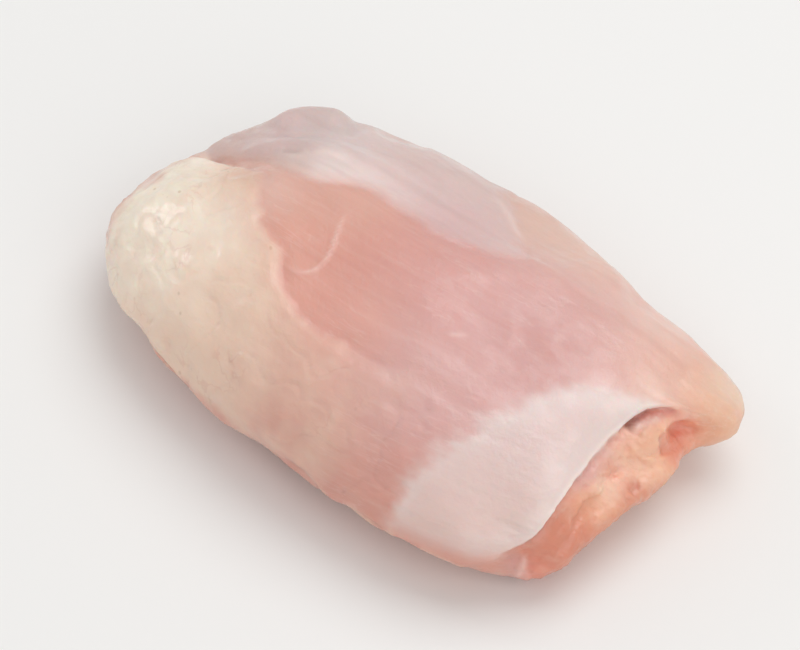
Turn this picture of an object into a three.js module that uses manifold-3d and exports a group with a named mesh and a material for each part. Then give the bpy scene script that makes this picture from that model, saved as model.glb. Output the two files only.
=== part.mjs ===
// Raw chicken thigh, boned and skinned, folded under itself with the smooth skin side up.
// Millimetres, +Z up. The thigh lies on Z 0 with its long side along X: its open folded end
// is at +X, its silvery far side at +Y, its fat-covered corner at -X, -Y.

import * as THREE from 'three';
import { mergeVertices } from 'three/addons/utils/BufferGeometryUtils.js';
import Module from 'manifold-3d';

const wasm = await Module();
wasm.setup();

// Driving dimensions
const thighHeight = 27.5;
const widestAt = 11; // height of the widest line along the sides
const lipAt = 17; // height of the lip, the top edge of the open end
const lipDrop = 6.5; // the lip comes down by this much to the near corner
const endFaceX = 48.6; // the flesh under the lip swells out to here, less at the near corner
const lipUndercut = 1.2; // depth of the hollow under the lip, away from the curl
const curlUndercut = 4.4; // and at the curl, near the far corner
const tuckAt = 6; // height of the crease where the near side is folded under
const tuckDepth = 2.6;
const padThickness = 1.3; // fat layer over the near corner
const silverStep = 1; // the silvery muscle lies this much lower than the main one
const restSink = 2.2; // how far the round underside is pressed flat
const columns = 122;
const rows = 42;

const { smoothstep, lerp, clamp } = THREE.MathUtils;
const hill = (distance, width) => Math.exp(-((distance / width) ** 2));

// Widest outline seen from above, anticlockwise from the far corner of the open end.
const outline = closedPath([
  [48, 25.4], [37, 27.4], [18, 28.8], [-4, 30.8], [-24, 30], [-41.5, 22], [-49, 9.5], [-49.6, 2.5],
  [-51.2, -6], [-48, -17], [-36, -25.4], [-16, -29.6], [8, -30.4], [28, -28.6], [39.6, -24.6],
  [43.4, -17], [41.8, -7], [40.4, 2], [41.6, 10], [46.4, 14.6], [50.2, 19.4],
]);

// Regions of the top seen from above: the fat layer over the near corner, and the silvery muscle.
const fatPad = closedPath([
  [-60, 1], [-36, 1.4], [-28.6, 0.1], [-21.7, -3.5], [-11.3, -11.6], [-0.6, -16.6], [9, -19.5], [16, -24],
  [18, -37], [-60, -47],
]).getPoints(90);
const silverMuscle = closedPath([
  [-60, 3], [-38, 3.6], [-28, 7], [-19, 9], [-7, 9.3], [3, 10.8], [14, 15.6], [19, 24], [12, 41], [-60, 41],
]).getPoints(90);
const farCleft = closedPath([[-62, 5], [-46, 3.8], [-35, 2.6], [-46, 2.8]]).getPoints(40);

function closedPath(points) {
  const places = points.map(([x, y]) => new THREE.Vector3(x, y, 0));
  return new THREE.CatmullRomCurve3(places, true, 'centripetal');
}

// How far inside a region a place is, and below zero how far outside it.
function depthInside(x, y, region) {
  let nearest = Infinity;
  let inside = false;
  for (let i = 0; i < region.length; i++) {
    const from = region[i];
    const to = region[(i + 1) % region.length];
    const runX = to.x - from.x;
    const runY = to.y - from.y;
    const length = runX * runX + runY * runY || 1;
    const part = clamp(((x - from.x) * runX + (y - from.y) * runY) / length, 0, 1);
    nearest = Math.min(nearest, Math.hypot(x - from.x - part * runX, y - from.y - part * runY));
    if ((from.y > y) !== (to.y > y) && x < from.x + ((y - from.y) * runX) / runY) inside = !inside;
  }
  return inside ? nearest : -nearest;
}

// Height of the top if it ran on level to the outline: it falls away to both ends and the near side.
function crest(x, y) {
  const openEnd = 5 * smoothstep(x, 8, 48);
  const farEnd = 5.5 * smoothstep(-x, 22, 54);
  const nearSide = 5 * smoothstep(-y, -2, 33);
  const farSide = 2.5 * smoothstep(y, 9, 31);
  const farCorner = 3 * hill(Math.hypot(x - 50, y - 23), 14);
  return thighHeight - openEnd - farEnd - nearSide - farSide - farCorner;
}

// Relief of the top: the fat pad, the step down to the silvery muscle, the cleft at the far end,
// the lobes beside it and the soft unevenness of flesh.
function relief(x, y) {
  const pad = padThickness * smoothstep(depthInside(x, y, fatPad), -1.2, 2);
  const silver = depthInside(x, y, silverMuscle);
  const step = -silverStep * smoothstep(silver, -1.6, 1.2) * (1 - smoothstep(silver, 5, 15));
  const cleft = -2.8 * smoothstep(depthInside(x, y, farCleft), -3.6, 0.4);
  const silverLobe = 2.4 * hill(Math.hypot(x + 36, y - 17), 9);
  const fatLobe = 1.2 * hill(Math.hypot(x + 40, y + 12), 9);
  const waves = 0.35 * Math.sin(0.21 * x + 1.3) * Math.sin(0.17 * y + 0.4)
    + 0.22 * Math.sin(0.38 * x - 0.29 * y) + 0.18 * Math.sin(0.52 * y + 0.2 * x + 2);
  return pad + step + cleft + silverLobe + fatLobe + waves;
}

// Share of the open end at a place on the outline: 1 between its two corners, 0 on the sides.
function openShare({ x, y }) {
  return smoothstep(x, 35, 40.5) * smoothstep(y, -27, -18) * (1 - smoothstep(y, 12, 18));
}

function lipHeight(y) {
  return lipAt - lipDrop * smoothstep(-y, 11, 25);
}

// Share of the near side and the far end, where the lower layer shows as a fold beneath the upper one.
function tuckShare({ x, y }) {
  const nearSide = (1 - smoothstep(y, -19, 3)) * (1 - smoothstep(x, 30, 40));
  const farEnd = 0.5 * smoothstep(-x, 40, 50) * smoothstep(y, -9, 1);
  return nearSide + farEnd;
}

// How far the flesh stands out at the open end, at a height below the lip: a hollow right under
// the lip, deepest at the curl, then the swelling of the cut flesh with its lumps of fat.
function endSwell(rim, y, z) {
  const below = lipHeight(y) - z;
  const undercut = lerp(lipUndercut, curlUndercut, hill(y - 8, 5.5)) * hill(below - 2.4, 1.7);
  const hollow = 3.6 * hill(Math.hypot(y - 14, z - 12), 2.6);
  const lumps = 1.2 * hill(Math.hypot(y - 4.5, z - 11), 4) + 0.9 * hill(Math.hypot(y + 4, z - 10), 3.4)
    - 0.9 * hill(Math.hypot(y + 10, z - 7), 4) + 0.8 * hill(Math.hypot(y + 16, z - 6), 4);
  const full = smoothstep(below, 3, 7.5) * (1 - 0.2 * (1 - smoothstep(z, 0, 4)));
  const face = endFaceX - 3.4 * smoothstep(-y, 12, 26);
  return (face - rim.x + lumps) * full - undercut - hollow;
}

// The folded flesh: a ball drawn out to the outline, domed above its widest line and pressed flat below.
function foldedFlesh() {
  const geometry = new THREE.SphereGeometry(1, columns, rows);
  const position = geometry.getAttribute('position');
  const uv = geometry.getAttribute('uv');
  for (let i = 0; i < position.count; i++) {
    const rim = outline.getPointAt((uv.getX(i) + 1) % 1);
    const down = 1 - uv.getY(i);
    const polar = Math.PI * down + 0.16 * Math.sin(2 * Math.PI * down);
    const open = openShare(rim);
    const upper = polar < Math.PI / 2;
    const boxiness = upper ? lerp(2.2, 3.4, smoothstep(rim.x, 4, 44)) : lerp(2.2, 6, open);
    const reach = Math.max(0, Math.sin(polar)) ** (2 / boxiness);
    const rise = Math.abs(Math.cos(polar)) ** (2 / 2.2);
    const widest = lerp(widestAt, lipHeight(rim.y), open * smoothstep(reach, 0.4, 0.95));
    let x = rim.x * reach;
    let y = rim.y * reach;
    let z = upper
      ? widest + (crest(x, y) - widest) * rise + relief(x, y) * smoothstep(rise, 0.15, 0.7)
      : widest - (widest + restSink) * rise;
    if (!upper) {
      const edge = smoothstep(reach, 0.7, 0.95);
      x += open * edge * endSwell(rim, y, z);
      const wander = 0.8 * Math.sin(0.16 * x + 1);
      const tuck = tuckDepth * tuckShare(rim) * edge * hill(z - tuckAt - wander, 1.9);
      const kept = 1 - tuck / Math.hypot(rim.x, rim.y);
      x *= kept;
      y *= kept;
    }
    z = Math.max(0, z);
    position.setXYZ(i, x, y, z);
  }
  return solid(geometry);
}

// A strand: a ball drawn out along a route of [x, y, z, radius], its section flattened by a share.
function strand(route, flatness = 1, around = 16, along = 18) {
  const line = new THREE.CatmullRomCurve3(route.map(([x, y, z]) => new THREE.Vector3(x, y, z)));
  const geometry = new THREE.SphereGeometry(1, around, along);
  const position = geometry.getAttribute('position');
  const up = new THREE.Vector3(0, 0, 1);
  const at = new THREE.Vector3();
  for (let i = 0; i < position.count; i++) {
    at.fromBufferAttribute(position, i);
    const part = clamp((1 - at.y) / 2, 0, 1);
    const forward = line.getTangent(part);
    const side = new THREE.Vector3().crossVectors(up, forward).normalize();
    const over = new THREE.Vector3().crossVectors(forward, side);
    const slot = part * (route.length - 1);
    const from = Math.min(Math.floor(slot), route.length - 2);
    const radius = lerp(route[from][3], route[from + 1][3], slot - from);
    const girth = Math.hypot(at.x, at.z);
    const full = girth > 1e-6 ? (girth ** 0.6) / girth : 0;
    const place = line.getPoint(part)
      .addScaledVector(side, at.x * full * radius)
      .addScaledVector(over, at.z * full * radius * flatness);
    position.setXYZ(i, place.x, place.y, place.z);
  }
  return solid(geometry);
}

function solid(geometry) {
  for (const name of ['normal', 'uv']) geometry.deleteAttribute(name);
  const merged = mergeVertices(geometry, 1e-3);
  const corners = merged.index.array;
  const triVerts = [];
  for (let i = 0; i < corners.length; i += 3) {
    const [a, b, c] = corners.subarray(i, i + 3);
    if (a !== b && b !== c && c !== a) triVerts.push(a, b, c);
  }
  const vertProperties = merged.getAttribute('position').array;
  const mesh = { numProp: 3, vertProperties, triVerts: new Uint32Array(triVerts) };
  return new wasm.Manifold(new wasm.Mesh(mesh));
}

// The seam beneath, where the folded flap ends.
function seamBeneath() {
  const route = [
    [-36, -10, 0, 1.2], [-22, -14.6, 0, 2.4], [-4, -13.4, 0, 1.8], [14, -16.4, 0, 2.8], [30, -15, 0, 2],
    [52, -17, 0, 3],
  ];
  return strand(route, 0.7, 10, 26);
}

function thigh() {
  return foldedFlesh().subtract(seamBeneath());
}

function meshOf(shape, name, material) {
  const { vertProperties, triVerts, numProp } = shape.getMesh();
  const places = new Float32Array((vertProperties.length / numProp) * 3);
  for (let i = 0; i < places.length / 3; i++) {
    places.set(vertProperties.subarray(i * numProp, i * numProp + 3), i * 3);
  }
  const geometry = new THREE.BufferGeometry();
  geometry.setAttribute('position', new THREE.BufferAttribute(places, 3));
  geometry.setIndex(new THREE.BufferAttribute(new Uint32Array(triVerts), 1));
  geometry.computeVertexNormals();
  geometry.computeBoundingBox();
  const middle = geometry.boundingBox.getCenter(new THREE.Vector3());
  geometry.translate(-middle.x, -middle.y, -geometry.boundingBox.min.z);
  const mesh = new THREE.Mesh(geometry, material);
  mesh.name = name;
  return mesh;
}

const rawFlesh = new THREE.MeshStandardMaterial({ color: 0xdfaea6, roughness: 0.38, metalness: 0 });

const group = new THREE.Group();
group.add(meshOf(thigh(), 'thigh', rawFlesh));

export default group;
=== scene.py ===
import math
import bpy
import numpy as np
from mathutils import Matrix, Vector


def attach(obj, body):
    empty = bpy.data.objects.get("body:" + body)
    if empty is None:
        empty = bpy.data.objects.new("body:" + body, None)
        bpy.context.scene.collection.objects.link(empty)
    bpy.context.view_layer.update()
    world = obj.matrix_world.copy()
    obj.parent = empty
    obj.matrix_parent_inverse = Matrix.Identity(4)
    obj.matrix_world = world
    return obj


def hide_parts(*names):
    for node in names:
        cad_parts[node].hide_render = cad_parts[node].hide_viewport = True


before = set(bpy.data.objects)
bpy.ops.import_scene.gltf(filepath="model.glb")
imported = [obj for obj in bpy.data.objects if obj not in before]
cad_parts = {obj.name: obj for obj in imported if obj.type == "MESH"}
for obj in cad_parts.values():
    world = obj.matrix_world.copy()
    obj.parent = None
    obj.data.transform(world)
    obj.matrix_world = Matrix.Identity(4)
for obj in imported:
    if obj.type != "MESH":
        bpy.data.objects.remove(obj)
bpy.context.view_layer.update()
bpy.ops.object.select_all(action="DESELECT")
mm = 0.001
print("stage: frame loaded")


# Helpers for places in millimetres, held as rows of X, Y, Z

def hill(distance, width):
    return np.exp(-(distance / width) ** 2)


def ramp(value, low, high):  # 0 at low, 1 at high, smooth between
    part = np.clip((value - low) / (high - low), 0, 1)
    return part * part * (3 - 2 * part)


def mix(a, b, share):
    return a + (b - a) * share


def smoothPath(points, closed=False, steps=8):  # Catmull-Rom through the points
    points = np.array(points, float)
    count = len(points)
    spans = count if closed else count - 1
    made = []
    for i in range(spans):
        if closed:
            p0, p1, p2, p3 = (points[(i + k - 1) % count] for k in range(4))
        else:
            p0, p1, p2, p3 = (points[min(max(i + k - 1, 0), count - 1)] for k in range(4))
        for t in np.linspace(0, 1, steps, endpoint=False):
            made.append(0.5 * (2 * p1 + (p2 - p0) * t + (2 * p0 - 5 * p1 + 4 * p2 - p3) * t ** 2
                               + (3 * p1 - p0 - 3 * p2 + p3) * t ** 3))
    if not closed:
        made.append(points[-1])
    return np.array(made)


def pathDistance(places, path, closed=False):  # distance to a path, and how far along it, 0 to 1
    ends = np.roll(path, -1, axis=0) if closed else path[1:]
    starts = path if closed else path[:-1]
    nearest = np.full(len(places), np.inf)
    along = np.zeros(len(places))
    for i, (a, b) in enumerate(zip(starts, ends)):
        run = b - a
        part = np.clip(((places - a) @ run) / max(run @ run, 1e-12), 0, 1)
        distance = np.linalg.norm(places - a - part[:, None] * run, axis=1)
        closer = distance < nearest
        nearest[closer] = distance[closer]
        along[closer] = (i + part[closer]) / len(starts)
    return nearest, along


def depthInside(flat, outline):  # distance inside a closed outline in two axes, below zero outside it
    loop = smoothPath(outline, closed=True)
    nearest, _ = pathDistance(flat, loop, closed=True)
    inside = np.zeros(len(flat), bool)
    for a, b in zip(loop, np.roll(loop, -1, axis=0)):
        crosses = (a[1] > flat[:, 1]) != (b[1] > flat[:, 1])
        if crosses.any():
            reach = a[0] + (flat[:, 1] - a[1]) * (b[0] - a[0]) / (b[1] - a[1] + 1e-12)
            inside ^= crosses & (flat[:, 0] < reach)
    return np.where(inside, nearest, -nearest)


noise = {
    "cells": 256, "gain": 1.7, "seedStep": 17.31,
    "octaveScale": 2.1, "octaveFade": 0.5, "octaveStep": 5.7,
}
shuffle = np.random.default_rng(7).permutation(noise["cells"])
slopes = np.random.default_rng(8).normal(size=(noise["cells"], 3))
slopes /= np.linalg.norm(slopes, axis=1)[:, None]


def softNoise(places):  # smooth noise, about -1 to 1, one hump to a unit
    cell = np.floor(places).astype(int)
    part = places - cell
    ease = part ** 3 * (part * (part * 6 - 15) + 10)
    total = np.zeros(len(places))
    for corner in np.ndindex(2, 2, 2):
        x, y, z = ((cell + corner) % noise["cells"]).T
        row = shuffle[(shuffle[x] + y) % noise["cells"]]
        slope = slopes[shuffle[(row + z) % noise["cells"]]]
        total += np.where(corner, ease, 1 - ease).prod(1) * ((part - corner) * slope).sum(1)
    return total * noise["gain"]


def mottle(places, size, seed, octaves=3, stretch=(1, 1, 1)):  # noise whose humps are about size apart
    scaled = places / (np.array(stretch) * size) + seed * noise["seedStep"]
    scale, fade, step = noise["octaveScale"], noise["octaveFade"], noise["octaveStep"]
    return sum(softNoise(scaled * scale ** k + k * step) * fade ** k for k in range(octaves))


def activate(piece):
    bpy.ops.object.select_all(action="DESELECT")
    piece.select_set(True)
    bpy.context.view_layer.objects.active = piece


def applyModifier(piece, kind, **values):
    activate(piece)
    modifier = piece.modifiers.new(kind.title(), kind)
    for name, value in values.items():
        setattr(modifier, name, value)
    bpy.ops.object.modifier_apply(modifier=modifier.name)


def readAll(items, field, wide=1, kind=np.float32):  # a number or a row for each vertex, edge or face
    flat = np.zeros(len(items) * wide, kind)
    items.foreach_get(field, flat)
    return flat.reshape(-1, wide) if wide > 1 else flat


def placesOf(piece):
    return readAll(piece.data.vertices, "co", 3).astype(float) / mm


def normalsOf(piece):
    return readAll(piece.data.vertex_normals, "vector", 3).astype(float)


def setPlaces(piece, places):
    piece.data.vertices.foreach_set("co", (places * mm).astype(np.float32).ravel())
    piece.data.update()


def paint(piece, name, values):  # one number or one colour for each vertex
    kind, field = ("FLOAT", "value") if values.ndim == 1 else ("FLOAT_COLOR", "color")
    layer = piece.data.attributes.new(name, kind, "POINT")
    layer.data.foreach_set(field, values.astype(np.float32).ravel())


def linear(code):  # "#e4b7af" as a linear colour
    parts = [int(code[i:i + 2], 16) / 255 for i in (1, 3, 5)]
    return [p / 12.92 if p <= 0.04045 else ((p + 0.055) / 1.055) ** 2.4 for p in parts]


# Neighbours of each vertex, for smoothing places or masks over the surface

def meshLinks(piece):
    edges = readAll(piece.data.edges, "vertices", 2, np.int32)
    here = np.concatenate([edges[:, 0], edges[:, 1]])
    there = np.concatenate([edges[:, 1], edges[:, 0]])
    return here, there, np.bincount(here, minlength=len(piece.data.vertices)).astype(float)


def spread(values, links, rounds, share=None):  # share says how much each vertex gives way, 0 to 1
    here, there, count = links
    rows = values.reshape(len(values), -1).copy()
    give = 0.5 if share is None else 0.5 * share[:, None]
    for _ in range(rounds):
        around = np.stack([np.bincount(here, rows[there, k], len(rows)) for k in range(rows.shape[1])], 1)
        rows += (around / count[:, None] - rows) * give
    return rows.reshape(values.shape)


# The body of the thigh, remeshed finely from the solid

fleshBody = {
    "mergeWithin": 0.002 * mm,
    "roundingLevels": 2,  # subdivision that takes the facets out of the solid
    "voxel": 0.48 * mm,
    "smoothing": 4,
    "smoothFactor": 0.5,
    "endBox": ((38.2, -24, 6.5), (50, 18, 18.4)),  # the open end has a finer mesh
    "calmRounds": 200,  # evens out the top before the fine relief goes on
    "calmHeights": (15.5, 20),
    "calmEnd": (46, 34),  # the calming fades out towards the open end
    "evenRounds": 6,
}

# Flesh and fat that fill the open end under the lip: centre, half sizes, turn about X in degrees
endFillings = [
    {"at": (41.5, 7.6, 12.8), "size": (4, 4.3, 4.3), "turn": 8},
    {"at": (40.4, 3, 13.9), "size": (3, 4, 3), "turn": 0},
    {"at": (40.7, -1.5, 14), "size": (2.9, 4.4, 2.9), "turn": 0},
    {"at": (41.4, -6.5, 14), "size": (2.8, 4.6, 2.9), "turn": 0},
    {"at": (41.9, -11.5, 13.6), "size": (2.7, 4.6, 2.8), "turn": 4},
    {"at": (42, -16, 12), "size": (2.5, 4, 2.7), "turn": 24},
    {"at": (43.4, 12.4, 15), "size": (2.6, 3.4, 1.9), "turn": -12},
]
fillingSwell = {"height": 0.07, "size": 3.2, "subdivisions": 4}  # how uneven the fillings are


def addFilling(lump, index):
    bpy.ops.object.select_all(action="DESELECT")
    x, y, z = lump["at"]
    bpy.ops.mesh.primitive_ico_sphere_add(subdivisions=fillingSwell["subdivisions"], radius=1,
                                          location=(x * mm, y * mm, z * mm))
    piece = bpy.context.active_object
    piece.scale = [s * mm for s in lump["size"]]
    piece.rotation_euler = (math.radians(lump["turn"]), 0, 0)
    bpy.ops.object.transform_apply(location=True, rotation=True, scale=True)
    places = placesOf(piece)
    centre = np.array(lump["at"])
    swell = 1 + fillingSwell["height"] * mottle(places, fillingSwell["size"], seed=index + 1, octaves=2)
    setPlaces(piece, centre + (places - centre) * swell[:, None])
    return piece


def refine(piece, low, high):  # halves the mesh inside a box
    places = placesOf(piece)
    inside = ((places > low) & (places < high)).all(1)
    piece.data.vertices.foreach_set("select", inside)
    activate(piece)
    bpy.context.tool_settings.mesh_select_mode = (True, False, False)
    for items in (piece.data.polygons, piece.data.edges):
        items.foreach_set("select", [all(inside[v] for v in item.vertices) for item in items])
    bpy.ops.object.mode_set(mode="EDIT")
    bpy.ops.mesh.subdivide(number_cuts=1)
    bpy.ops.object.mode_set(mode="OBJECT")


def makeBody():
    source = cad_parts["thigh"]
    body = bpy.data.objects.new("thighFlesh", source.data.copy())
    bpy.context.scene.collection.objects.link(body)
    activate(body)
    bpy.ops.object.mode_set(mode="EDIT")
    bpy.ops.mesh.select_all(action="SELECT")
    bpy.ops.mesh.remove_doubles(threshold=fleshBody["mergeWithin"])
    bpy.ops.object.mode_set(mode="OBJECT")
    levels = fleshBody["roundingLevels"]
    applyModifier(body, "SUBSURF", levels=levels, render_levels=levels)
    fillings = [addFilling(lump, i) for i, lump in enumerate(endFillings)]
    activate(body)
    for filling in fillings:
        filling.select_set(True)
    bpy.ops.object.join()
    applyModifier(body, "REMESH", mode="VOXEL", voxel_size=fleshBody["voxel"])
    applyModifier(body, "SMOOTH", factor=fleshBody["smoothFactor"], iterations=fleshBody["smoothing"])
    refine(body, *(np.array(corner) for corner in fleshBody["endBox"]))
    return body


thighFlesh = makeBody()
links = meshLinks(thighFlesh)
print("stage: body", len(thighFlesh.data.polygons), "faces")

places = placesOf(thighFlesh)
calm = ramp(places[:, 2], *fleshBody["calmHeights"]) * ramp(places[:, 0], *fleshBody["calmEnd"])
places = spread(places, links, fleshBody["calmRounds"], calm)
places = spread(places, links, fleshBody["evenRounds"])
setPlaces(thighFlesh, places)
print("stage: calmed")


# Relief of the top, sides and open end. Regions are seen from above, strokes run over the surface.

topRegions = {
    "silver": [(-56, 5), (-41, 4.6), (-33.2, 5), (-29.7, 3.6), (-25.6, 3.6), (-22.1, 4.5), (-18.6, 6.4),
               (-13.4, 8.6), (-8.9, 8.2), (-3.4, 8.2), (-0.7, 7.5), (4.8, 8.9), (9.6, 10.9), (12.4, 14),
               (9.6, 17.2), (5.4, 20.4), (1.6, 23.6), (-1.6, 26.6), (-2.6, 31), (-5, 38), (-56, 38)],
    "fat": [(-58, 2.6), (-42, 2.8), (-36, 1.8), (-30.2, 0.4), (-26.2, -3.5), (-23.5, -5.8), (-19.4, -9.2),
            (-16, -10.3), (-13.5, -12.3), (-10.3, -14.5), (-7.5, -15.9), (-4.4, -16.3), (2.8, -16.3),
            (10.7, -16), (15.3, -14.3), (18.6, -13.6), (21.2, -14.3), (23.6, -17), (24.4, -24),
            (22, -40), (-58, -50)],
    "membrane": [(26.1, -17.1), (27.4, -11.8), (29.7, -6.2), (31.5, -1.3), (33.5, 2.4), (35.2, 4.6),
                 (37, 6.7), (38.8, 8.2), (40.3, 9.3), (41.8, 10.2), (43, 10.6), (45, 10.2),
                 (50, 4), (50, -18), (42, -34), (26, -36), (24, -24)],
}

lipLine = [(38.6, -25.5, 11.4), (41, -23.6, 11.6), (42.8, -20.4, 12.6), (43.6, -17.6, 14.3),
           (43.7, -15, 16), (43.2, -12, 17), (42.4, -9, 17.2), (41.8, -6, 17.2),
           (41.1, -3, 17.3), (40.8, 0, 17.2), (40.8, 3, 17.1), (40.8, 5, 17.1),
           (40.8, 7, 17.5), (41.4, 9, 17.7), (42.7, 11, 17.4), (44.6, 13, 17),
           (46.6, 15, 15.2), (48.2, 17, 13.8)]  # edge of the upper layer, over the open end


# Half width at the two ends of the path, height, and the part of its length in which each end fades. A stroke
# carries fat, red with painted shade in creases, painted shade, or pale thread with painted highlights, and one
# that pushes moves flesh in under the lip.
def stroke(path, width, height=0, taper=0.3, **carried):
    return {"path": path, "width": width, "height": height, "taper": taper, **carried}


topStrokes = [
    stroke([(-39.5, 12.6, 19.9), (-37.4, 16.4, 19.5), (-33.6, 19.6, 20.2), (-29.8, 21.8, 20)], (4.2, 3.6),
           1.7),  # far lobe, which stands up on the outline
    stroke([(-27.6, 23.4, 19.2), (-24.1, 25.6, 18.2), (-18.5, 26.6, 18.4)], (3, 4), -0.8, taper=0.35),
    stroke([(-7.5, 26.8, 18.9), (2.2, 27.7, 17.3), (12.6, 26.5, 17.1), (20.5, 24.4, 18.9), (27.5, 25, 17.6)],
           (5.5, 5.5), 1.7),  # full far rim
    stroke([(-41, 5.6, 18), (-33.1, 9.1, 22.4), (-26, 11.9, 24), (-20.1, 14.2, 23.9), (-10, 15.2, 24)],
           (1.2, 1.8), 0.45, taper=0.15),  # ridge between the silvery lobes
    stroke([(-38, 13.5, 20), (-32, 16.4, 22.2), (-25.8, 18.7, 22.2)], (2.2, 2.6), -0.5, taper=0.15),
    stroke([(-40, 9.5, 18), (-33.5, 10.8, 22), (-28, 14.6, 23.3), (-21, 17.4, 22.8), (-12, 19.6, 22)],
           (0.5, 0.7), -0.22, taper=0.15),
    # dark seam between the lobes: a shallow crease with painted shade
    stroke([(-32.4, 7.4, 22.8), (-30.6, 7.8, 23.4), (-28.6, 8.8, 24)], (0.8, 0.7), -0.15, shade=0.16,
           taper=0.35),
    # pale raised streak at the edge of the silvery skin, partly a painted wet highlight
    stroke([(-28, 9.4, 24), (-24.8, 10.8, 24.6), (-21.4, 11.4, 25)], (0.7, 0.9), 0.15, thread=0.4,
           taper=0.35),
    # pale fleck standing in for a small glint: a painted highlight
    stroke([(14.8, -6.3, 26.3), (16.2, -5.2, 26.3), (17.9, -3.6, 26.3)], (0.4, 0.5), 0.1, thread=0.3,
           taper=0.4),
    stroke([(-6, 25.4, 19), (-0.3, 23.4, 20.7), (5.6, 20.2, 22.2), (11.6, 17.3, 23.3)], (0.5, 0.8), 0.12,
           thread=0.35, taper=0.4),
    stroke([(38.3, 2.4, 19.6), (39.4, 6.3, 19.3), (41.2, 9.3, 18.6)], (1.3, 1.2),
           thread=0.55),  # pale skin along the lip
    stroke([(-12.9, 2.6, 27), (-12.3, 0.4, 27), (-10.5, -3.3, 26.9), (-9.2, -5.8, 26.5), (-8.7, -8.5, 26),
            (-10, -11, 25.5), (-13.4, -11.9, 25.6)], (0.3, 0.4), 0.14, thread=0.4,
           taper=0.25),  # curled thread on the bare flesh
]
endStrokes = [
    stroke([(40.5, 5.7, 14.1), (40.5, 6.6, 14.4), (40.6, 7.8, 14.5), (40.8, 9.6, 14.2), (40.8, 11.4, 13.5),
            (41.7, 12.2, 14), (43, 12.6, 15), (44.3, 13.2, 15.7)], (0.85, 0.35), -1.25, push=True,
           taper=0.1),  # gap under the lip
    stroke([(40.7, 4.7, 13.9), (40.5, 5.7, 14.1), (40.5, 6.6, 14.4), (40.6, 7.8, 14.5)], (0.95, 0.8), -1,
           push=True, taper=0.25),
    # painted shade in the gap under the lip
    stroke([(41.8, 4.6, 16.4), (41.7, 5.7, 16.6), (41.8, 6.7, 16.8), (42, 7.9, 16.9), (42.2, 9.3, 16.8)],
           (0.95, 0.4), shade=0.4, taper=0.2),  # the gap is darkest at its near end
    stroke([(41.6, 4.5, 16.2), (41.5, 5.7, 16.4), (41.7, 6.7, 16.6), (42, 7.7, 16.8)], (0.8, 0.5), shade=0.75,
           taper=0.25),
    # reddens the flesh under the lip, a band of painted shade below the gap
    stroke([(41.7, 5.9, 16.8), (41.8, 6.9, 16.9), (42.3, 8, 17), (42.9, 9.2, 17), (43.7, 10, 17.2),
            (44.2, 11.3, 16.7), (45, 12.2, 16.7), (45.7, 13.2, 16.4)], (0.95, 0.8), blood=0.8, taper=0.25),
    # raised rim of the lump, its brightness a painted highlight
    stroke([(42.5, 5.2, 16.5), (42.8, 6.1, 16.7), (43, 7, 16.7), (43.4, 7.9, 16.7), (44, 8.8, 16.9),
            (44.5, 9.9, 16.5)], (0.5, 0.45), 0.25, thread=0.6, taper=0.2),  # bright rim of the lump
    stroke([(43.2, 2.8, 14.8), (44.5, 3.8, 13.5), (45.5, 4.5, 12.3), (46.8, 5.3, 11.4)], (0.8, 0.8), 0.45,
           taper=0.2),
    stroke([(44.8, -4.2, 13.3), (44.3, -6.6, 14), (44.3, -8.3, 13.8), (44.4, -9.8, 13.1),
            (45, -11.2, 12.1)], (0.8, 0.9), 0.45, taper=0.2),
    stroke([(41.4, 5.8, 14.3), (41.4, 7.7, 14.8), (41.5, 9.6, 14.6), (41.4, 12.1, 13.2), (42.4, 13, 13.4)],
           (0.6, 0.5), 0.3, thread=0.3, taper=0.15),
    stroke([(42.2, 8.2, 14.7), (43.6, 8.2, 14.1), (44.6, 6.6, 12.9), (44.6, 4.6, 11.8)], (3.4, 2.7), 0.6,
           taper=0.15),  # lump of fat that fills the curl
    stroke([(43, 12.2, 12.4), (44.2, 13, 11.7), (45.4, 14, 11.2), (46.6, 14.9, 11.2), (48, 15.8, 11.5)],
           (1.3, 0.6), -0.7, taper=0.35),  # red hollow beside the lump
    stroke([(43.9, 11.1, 12.4), (45.1, 9, 12.9), (45.9, 8.1, 12), (46.7, 7.9, 11)], (0.6, 0.7), -0.6,
           blood=0.25),
    stroke([(46.2, 13.4, 10.4), (46.7, 11, 10.6), (47.1, 8.8, 10.4)], (1.8, 1.4), -0.1),
    stroke([(43.4, 13.5, 13), (46.1, 13.8, 15.8), (47, 16.7, 15.2), (47.8, 19.9, 14.4)], (0.8, 0.9), 0.25,
           thread=0.15),
    stroke([(47.2, -1, 10.8), (47.1, 0.5, 10.9), (47.5, 1.6, 10.7)], (1, 0.9), -0.5, blood=0.2),
    stroke([(44.6, -6.3, 12.1), (44.4, -3.9, 12), (44.8, -1.7, 11.8), (45.2, 0.4, 11.6)], (1.4, 1.1), 0.4,
           taper=0.25),
    stroke([(42.3, -0.9, 12.7), (43, 0.1, 12.4), (44.1, 0.6, 12)], (1.3, 1.3), -0.3),
    stroke([(42.8, -2.9, 12.6), (43.6, -0.6, 12.2), (44.5, 1.6, 11.9), (45.7, 2.1, 11.5)], (0.5, 0.5), -0.2,
           taper=0.15),
    stroke([(44.4, -6.6, 12.2), (45.7, -12.5, 11.5), (46.1, -16.9, 8.9)], (0.7, 0.8), -0.3),
    stroke([(45.8, -5.9, 11.5), (46.9, -10.5, 10.8), (47.6, -15.7, 7.9)], (0.6, 0.7), -0.22),
    stroke([(44.7, -10.3, 12.2), (45.5, -14.6, 10.9), (45.7, -18, 8.3)], (1.8, 2.2), 0.5),
    stroke([(42.8, -19.2, 9.8), (43.3, -20.4, 7.8), (43.1, -21.3, 5.2)], (0.5, 0.8), 0.3, thread=0.4),
    stroke([(43.2, -20.3, 8), (44.2, -20.2, 6.6), (44.6, -20.6, 5)], (0.4, 0.5), 0.25, thread=0.25),
]
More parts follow.
